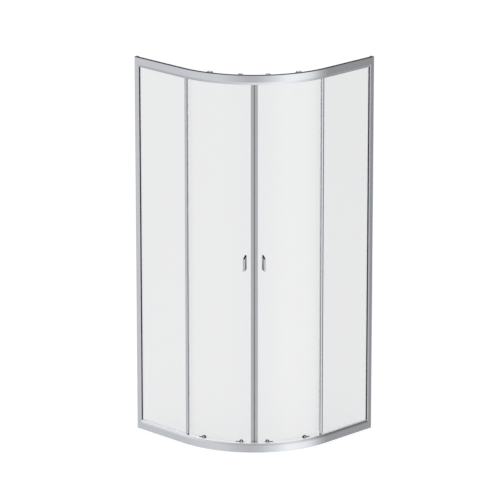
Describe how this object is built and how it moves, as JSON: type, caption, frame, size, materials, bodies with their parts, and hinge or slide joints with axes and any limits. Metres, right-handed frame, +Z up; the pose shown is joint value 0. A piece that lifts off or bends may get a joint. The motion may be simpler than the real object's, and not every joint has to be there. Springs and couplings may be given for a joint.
{
  "type": "shower enclosure",
  "caption": "Quadrant corner shower enclosure: framed flat side panes and curved glass doors that slide apart on bent rails.",
  "frame": {"origin": "on the floor under the middle of the square that the enclosure fills", "axes": "+Z up; the room's walls stand at +X and +Y, and the doors bow towards -X and -Y"},
  "size_m": [0.8, 0.8, 1.8563],
  "materials": {
    "aluminium": "bright silver anodised",
    "glass": "clear toughened",
    "black_rubber": "matte",
    "clear_seal": "translucent",
    "dark_plastic": "moulded",
    "pale_plastic": "moulded",
    "chrome": "polished",
    "steel": "plain",
    "roller": "moulded nylon"
  },
  "bodies": {
    "frame": {"bottom_rail": "aluminium", "corner_caps": "dark_plastic", "edge_post_left": "aluminium", "edge_post_right": "aluminium", "fixed_glass_left": "glass", "fixed_glass_right": "glass", "glazing_gasket_left": "black_rubber", "glazing_gasket_right": "black_rubber", "jamb_left": "aluminium", "jamb_right": "aluminium", "jamb_screws": "steel", "post_feet": "dark_plastic", "post_screws": "steel", "post_seal_left": "clear_seal", "post_seal_right": "clear_seal", "top_rail": "aluminium", "track_stops": "black_rubber", "wall_channel_left": "aluminium", "wall_channel_right": "aluminium"},
    "right_door": {"door_glass_right": "glass", "door_stile_right": "aluminium", "magnetic_seal_right": "black_rubber", "rear_seal_right": "clear_seal", "drip_seal_right": "clear_seal", "handle_right": "chrome", "handle_screws_right": "steel", "top_inner_carrier_right": "pale_plastic", "top_outer_carrier_right": "pale_plastic", "bottom_inner_carrier_right": "dark_plastic", "bottom_outer_carrier_right": "dark_plastic", "wheel_axles_right": "steel", "carrier_bolts_right": "chrome", "carrier_caps_right": "dark_plastic"},
    "top_inner_carrier_wheel_right": {"top_inner_carrier_wheel_right": "roller"},
    "top_outer_carrier_wheel_right": {"top_outer_carrier_wheel_right": "roller"},
    "bottom_inner_carrier_wheel_right": {"bottom_inner_carrier_wheel_right": "dark_plastic"},
    "bottom_outer_carrier_wheel_right": {"bottom_outer_carrier_wheel_right": "dark_plastic"},
    "left_door": {"door_glass_left": "glass", "door_stile_left": "aluminium", "magnetic_seal_left": "black_rubber", "rear_seal_left": "clear_seal", "drip_seal_left": "clear_seal", "handle_left": "chrome", "handle_screws_left": "steel", "top_inner_carrier_left": "pale_plastic", "top_outer_carrier_left": "pale_plastic", "bottom_inner_carrier_left": "dark_plastic", "bottom_outer_carrier_left": "dark_plastic", "wheel_axles_left": "steel", "carrier_bolts_left": "chrome", "carrier_caps_left": "dark_plastic"},
    "top_inner_carrier_wheel_left": {"top_inner_carrier_wheel_left": "roller"},
    "top_outer_carrier_wheel_left": {"top_outer_carrier_wheel_left": "roller"},
    "bottom_inner_carrier_wheel_left": {"bottom_inner_carrier_wheel_left": "dark_plastic"},
    "bottom_outer_carrier_wheel_left": {"bottom_outer_carrier_wheel_left": "dark_plastic"}
  },
  "joints": [
    {"name": "right_door_slide", "type": "hinge", "parent": "frame", "child": "right_door", "pos_m": [0.08, 0.08, 0.925], "axis": [0, 0, 1], "range_deg": [0, 27]},
    {"name": "left_door_slide", "type": "hinge", "parent": "frame", "child": "left_door", "pos_m": [0.08, 0.08, 0.925], "axis": [0, 0, -1], "range_deg": [0, 27]},
    {"name": "top_inner_carrier_wheel_right_spin", "type": "hinge", "parent": "right_door", "child": "top_inner_carrier_wheel_right", "pos_m": [-0.19252, -0.28561, 1.8443], "axis": [-0.5976, -0.8018, 0], "range_deg": [-1028, 0]},
    {"name": "top_outer_carrier_wheel_right_spin", "type": "hinge", "parent": "right_door", "child": "top_outer_carrier_wheel_right", "pos_m": [-0.05636, -0.35513, 1.8443], "axis": [-0.299, -0.9542, 0], "range_deg": [-1028, 0]},
    {"name": "bottom_inner_carrier_wheel_right_spin", "type": "hinge", "parent": "right_door", "child": "bottom_inner_carrier_wheel_right", "pos_m": [-0.19597, -0.2849, 0.0293], "axis": [-0.6032, -0.7976, 0], "range_deg": [-1547, 0]},
    {"name": "bottom_outer_carrier_wheel_right_spin", "type": "hinge", "parent": "right_door", "child": "bottom_outer_carrier_wheel_right", "pos_m": [-0.02136, -0.36613, 0.0293], "axis": [-0.2215, -0.9751, 0], "range_deg": [-1547, 0]},
    {"name": "top_inner_carrier_wheel_left_spin", "type": "hinge", "parent": "left_door", "child": "top_inner_carrier_wheel_left", "pos_m": [-0.28561, -0.19252, 1.8443], "axis": [-0.8018, -0.5976, 0], "range_deg": [0, 1028]},
    {"name": "top_outer_carrier_wheel_left_spin", "type": "hinge", "parent": "left_door", "child": "top_outer_carrier_wheel_left", "pos_m": [-0.35513, -0.05636, 1.8443], "axis": [-0.9542, -0.299, 0], "range_deg": [0, 1028]},
    {"name": "bottom_inner_carrier_wheel_left_spin", "type": "hinge", "parent": "left_door", "child": "bottom_inner_carrier_wheel_left", "pos_m": [-0.2849, -0.19597, 0.0293], "axis": [-0.7976, -0.6032, 0], "range_deg": [0, 1547]},
    {"name": "bottom_outer_carrier_wheel_left_spin", "type": "hinge", "parent": "left_door", "child": "bottom_outer_carrier_wheel_left", "pos_m": [-0.36613, -0.02136, 0.0293], "axis": [-0.9751, -0.2215, 0], "range_deg": [0, 1547]}
  ],
  "couplings": [
    {"joint": "top_inner_carrier_wheel_right_spin", "follows": "right_door_slide", "ratio": -38},
    {"joint": "top_outer_carrier_wheel_right_spin", "follows": "right_door_slide", "ratio": -38},
    {"joint": "bottom_inner_carrier_wheel_right_spin", "follows": "right_door_slide", "ratio": -57.188},
    {"joint": "bottom_outer_carrier_wheel_right_spin", "follows": "right_door_slide", "ratio": -57.188},
    {"joint": "top_inner_carrier_wheel_left_spin", "follows": "left_door_slide", "ratio": 38},
    {"joint": "top_outer_carrier_wheel_left_spin", "follows": "left_door_slide", "ratio": 38},
    {"joint": "bottom_inner_carrier_wheel_left_spin", "follows": "left_door_slide", "ratio": 57.188},
    {"joint": "bottom_outer_carrier_wheel_left_spin", "follows": "left_door_slide", "ratio": 57.188}
  ]
}
